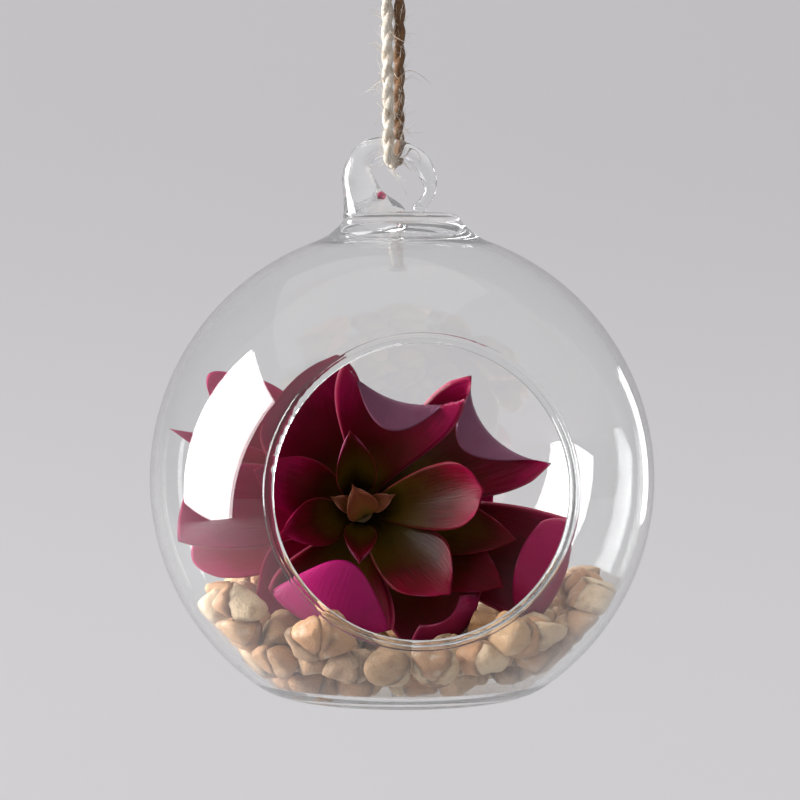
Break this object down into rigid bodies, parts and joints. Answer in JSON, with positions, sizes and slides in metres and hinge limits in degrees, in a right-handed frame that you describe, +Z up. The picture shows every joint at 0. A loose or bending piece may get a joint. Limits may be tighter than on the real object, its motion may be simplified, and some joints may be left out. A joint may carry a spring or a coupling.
{
  "type": "hanging globe terrarium",
  "caption": "blown clear glass globe with a round side mouth and a hook on its crown, hung on jute twine, with a bed of pebbles and a crimson succulent inside",
  "frame": {"origin": "middle of the flat base, where the globe stands on a table", "axes": "+Z up, -Y out of the mouth, +X to the right seen from the mouth"},
  "size_m": [0.1, 0.0913, 0.1506],
  "materials": {
    "clear_glass": "clear blown glass with fire-polished rims",
    "jute": "undyed two-ply jute twine with stray fibres",
    "stem": "dull green-brown plant stem",
    "leaf_olive": "waxy leaf, olive at its foot and crimson at its end",
    "leaf_crimson": "waxy crimson leaf with a paler margin and a mauve underside",
    "pebble": "tumbled beige pebbles"
  },
  "bodies": {
    "root": {"globe": "clear_glass", "twine": "jute", "twine_knot": "jute", "succulent_stem": "stem", "pebbles": "pebble", "bud_1": "leaf_olive", "bud_2": "leaf_olive", "bud_3": "leaf_olive", "leaf_inner_1": "leaf_olive", "leaf_inner_2": "leaf_olive", "leaf_inner_3": "leaf_olive", "leaf_inner_4": "leaf_olive", "leaf_inner_5": "leaf_olive", "leaf_inner_6": "leaf_olive", "leaf_inner_7": "leaf_olive", "leaf_inner_8": "leaf_olive", "leaf_outer_1": "leaf_crimson", "leaf_outer_2": "leaf_crimson", "leaf_outer_3": "leaf_crimson", "leaf_outer_4": "leaf_crimson", "leaf_outer_5": "leaf_crimson", "leaf_outer_6": "leaf_crimson", "leaf_outer_7": "leaf_crimson", "leaf_back_1": "leaf_crimson", "leaf_back_2": "leaf_crimson", "leaf_back_3": "leaf_crimson", "leaf_back_4": "leaf_crimson", "leaf_back_5": "leaf_crimson"}
  },
  "joints": []
}
